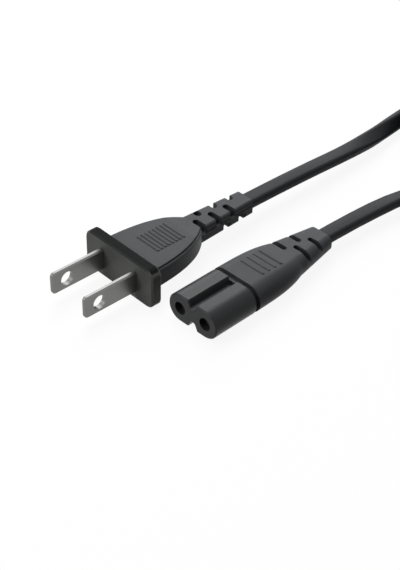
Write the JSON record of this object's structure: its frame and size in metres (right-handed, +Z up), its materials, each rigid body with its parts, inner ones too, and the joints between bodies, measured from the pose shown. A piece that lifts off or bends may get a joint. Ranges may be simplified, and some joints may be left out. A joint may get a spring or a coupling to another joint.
{
  "type": "power cord",
  "caption": "Mains power cord: a moulded plug with flat blades and a moulded figure-eight appliance connector on one flat cord that is folded into a tied hank",
  "frame": {"origin": "on the floor under the middle of the plug and the connector, whose bounding box it halves; the cord and its hank aren't counted", "axes": "+Z up; +X runs along the plug from its blades to its cord; +Y from the connector to the plug. The connector lies beside the plug, turned 1.7 degrees about +Z"},
  "size_m": [0.2488, 0.0564, 0.0134],
  "materials": {
    "black_pvc": "moulded flexible vinyl, finely spark-eroded, matt with a soft sheen",
    "nose_pvc": "hard moulded vinyl, slightly smoother than the body",
    "bridge_nylon": "natural nylon, moulded",
    "nickel": "stamped brass strip with satin nickel plating",
    "phosphor_bronze": "rolled spring strip, bright",
    "copper": "bare stranded copper",
    "core_vinyl": "extruded vinyl insulation",
    "cord_jacket": "extruded flexible vinyl jacket, satin",
    "tie_plastic": "plastic-coated twist tie"
  },
  "bodies": {
    "root": {"plug_housing": "black_pvc", "plug_bridge": "bridge_nylon", "plug_blade_left": "nickel", "plug_blade_right": "nickel", "plug_strand_left": "copper", "plug_strand_right": "copper", "plug_core_left": "core_vinyl", "plug_core_right": "core_vinyl", "connector_housing": "black_pvc", "connector_nose": "nose_pvc", "socket_left": "phosphor_bronze", "socket_right": "phosphor_bronze", "connector_strand_left": "copper", "connector_strand_right": "copper", "connector_core_left": "core_vinyl", "connector_core_right": "core_vinyl", "cord_plug_end": "cord_jacket", "cord_connector_end": "cord_jacket", "cord_hank": "cord_jacket", "hank_tie": "tie_plastic"}
  },
  "joints": []
}
